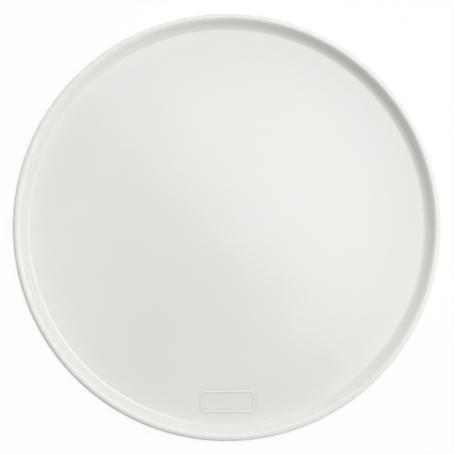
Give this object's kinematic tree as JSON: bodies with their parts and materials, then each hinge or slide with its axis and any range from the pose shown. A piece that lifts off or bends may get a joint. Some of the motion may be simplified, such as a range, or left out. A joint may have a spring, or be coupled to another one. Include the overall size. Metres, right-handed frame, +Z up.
{
  "type": "pizza plate",
  "caption": "Round flat pizza plate of white glazed porcelain with a low flared rim, a rounded lip and foot rings underneath.",
  "frame": {"origin": "on the table, under the centre of the plate", "axes": "+Z up along the axis that the plate was turned about, -Y towards the person eating"},
  "size_m": [0.3048, 0.3048, 0.02],
  "materials": {
    "body": "matt fired porcelain, bare where the plate stands",
    "glaze": "glossy white glaze"
  },
  "bodies": {
    "root": {"porcelain_body": "body", "glaze_face_and_rim": "glaze", "glaze_between_foot_rings": "glaze", "glaze_inside_support_ring": "glaze"}
  },
  "joints": []
}
